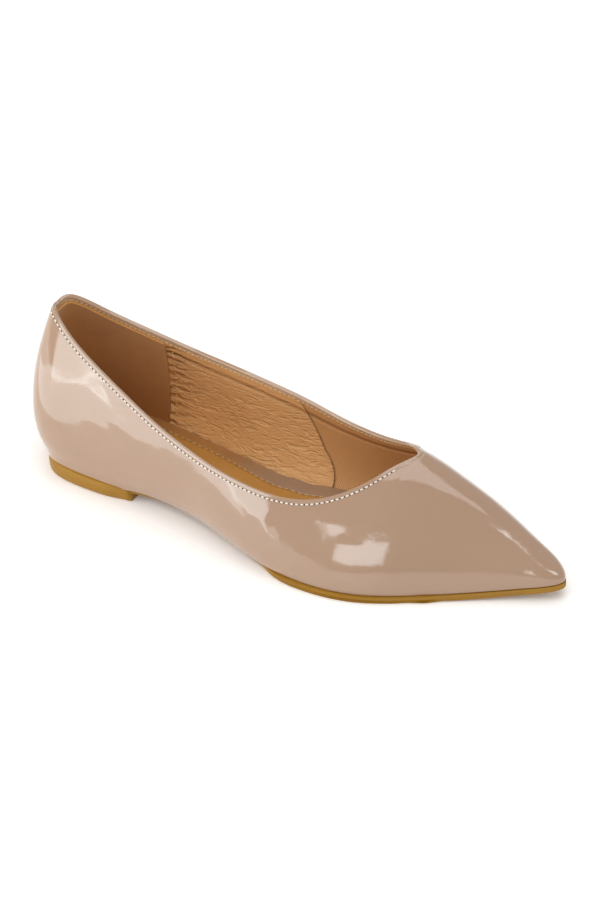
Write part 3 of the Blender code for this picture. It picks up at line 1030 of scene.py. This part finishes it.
# some boxes only light the shoe, and some only show in its gloss
softBoxes = {
    "topBox": {"azimuth": 40, "elevation": 84, "away": 1.6, "size": (1.5, 1.2), "brightness": 1.45},
    "frontBox": {"azimuth": -82, "elevation": 52, "away": 1.6, "size": (1.3, 0.6), "brightness": 2.6,
                 "mirrored": False},
    "leftBox": {"azimuth": -150, "elevation": 12, "away": 0.8, "size": (0.5, 0.5), "brightness": 2.8,
                "mirrored": False},
    "backBox": {"azimuth": 116, "elevation": 36, "away": 1.5, "size": (0.9, 0.6), "brightness": 1.1,
                "colour": (0.90, 0.94, 1.0)},
    "windowBox": {"azimuth": -77, "elevation": 16, "away": 1.3, "size": (0.74, 0.40), "brightness": 3.3,
                  "colour": (0.88, 0.96, 1.0), "lighting": False},
    "toeBox": {"azimuth": -13, "elevation": 38, "away": 1.2, "size": (0.32, 0.34), "brightness": 4.0,
               "colour": (0.88, 0.95, 1.0), "lighting": False},
    "quarterBox": {"azimuth": -124, "elevation": 14, "away": 0.5, "size": (0.30, 0.52), "brightness": 3.1,
                   "colour": (0.86, 0.97, 1.0), "lighting": False},
}
# the bright table in front of the heel, as the gloss of the quarter shows it
tableGlow = {"size": (0.24, 0.62), "brightness": 1.45, "colour": (0.84, 0.96, 1.0),
             "place": (-0.365, -0.315, 0.002), "turn": -36}

bpy.ops.object.select_all(action="DESELECT")
bpy.ops.mesh.primitive_plane_add(size=studio["floorSize"], location=(0, 0, 0))
floor = bpy.context.object
floor.name = "studioFloor"
floorFinish = Finish("floorFinish", {"Base Color": studio["floor"], "Roughness": 0.6,
                                     "Emission Color": (1, 1, 1, 1), "Emission Strength": 0.14})
floor.data.materials.append(floorFinish.material)

scene = bpy.context.scene
scene.world = bpy.data.worlds.new("studioWorld")
scene.world.use_nodes = True
sky = scene.world.node_tree.nodes["Background"]
sky.inputs["Color"].default_value = (1, 1, 1, 1)
sky.inputs["Strength"].default_value = studio["world"]
scene.view_settings.view_transform = "Standard"


def bearing(azimuth, elevation):
    azimuth, elevation = math.radians(azimuth), math.radians(elevation)
    return Vector((math.cos(azimuth) * math.cos(elevation), math.sin(azimuth) * math.cos(elevation),
                   math.sin(elevation)))


def litPane(name, size, brightness, colour):
    lamp = bpy.data.lights.new(name, "AREA")
    lamp.shape = "RECTANGLE"
    lamp.size, lamp.size_y = size
    lamp.energy = math.pi * size[0] * size[1] * brightness
    lamp.color = colour
    pane = bpy.data.objects.new(name, lamp)
    scene.collection.objects.link(pane)
    return pane


for name, box in softBoxes.items():
    # a lit window in that direction from the shoe, turned towards it
    pane = litPane(name, box["size"], box["brightness"], box.get("colour", (1, 1, 1)))
    place = bearing(box["azimuth"], box["elevation"]) * box["away"]
    place.z += 0.02
    pane.location = place
    pane.rotation_mode = "QUATERNION"
    pane.rotation_quaternion = place.to_track_quat("Z", "Y")
    pane.visible_diffuse, pane.visible_glossy = box.get("lighting", True), box.get("mirrored", True)

glow = litPane("tableGlow", tableGlow["size"], tableGlow["brightness"], tableGlow["colour"])
glow.location = tableGlow["place"]
glow.rotation_euler = (math.pi, 0, math.radians(tableGlow["turn"]))
glow.visible_camera = glow.visible_diffuse = False

# the photo's own azimuth is counted from where the shoe's side faces the camera
back = bearing(studio["azimuth"] - 90, studio["elevation"])
right = bearing(studio["azimuth"], 0)
upward = back.cross(right)
lens = bpy.data.cameras.new("camera")
camera = bpy.data.objects.new("camera", lens)
camera.location = (Vector(studio["aim"]) + right * studio["across"] + upward * studio["upwards"]
                   + back * studio["away"])
camera.rotation_mode = "QUATERNION"
turn = Matrix((right, upward, back)).transposed() @ Matrix.Rotation(math.radians(-studio["roll"]), 3, "Z")
camera.rotation_quaternion = turn.to_quaternion()
lens.sensor_width = studio["sensor"]
lens.lens = studio["pixelsPerMetre"] * studio["away"] / studio["pictureHeight"] * studio["sensor"]
lens.clip_start, lens.clip_end = studio["clip"]
scene.collection.objects.link(camera)
scene.camera = camera
print("studio done")
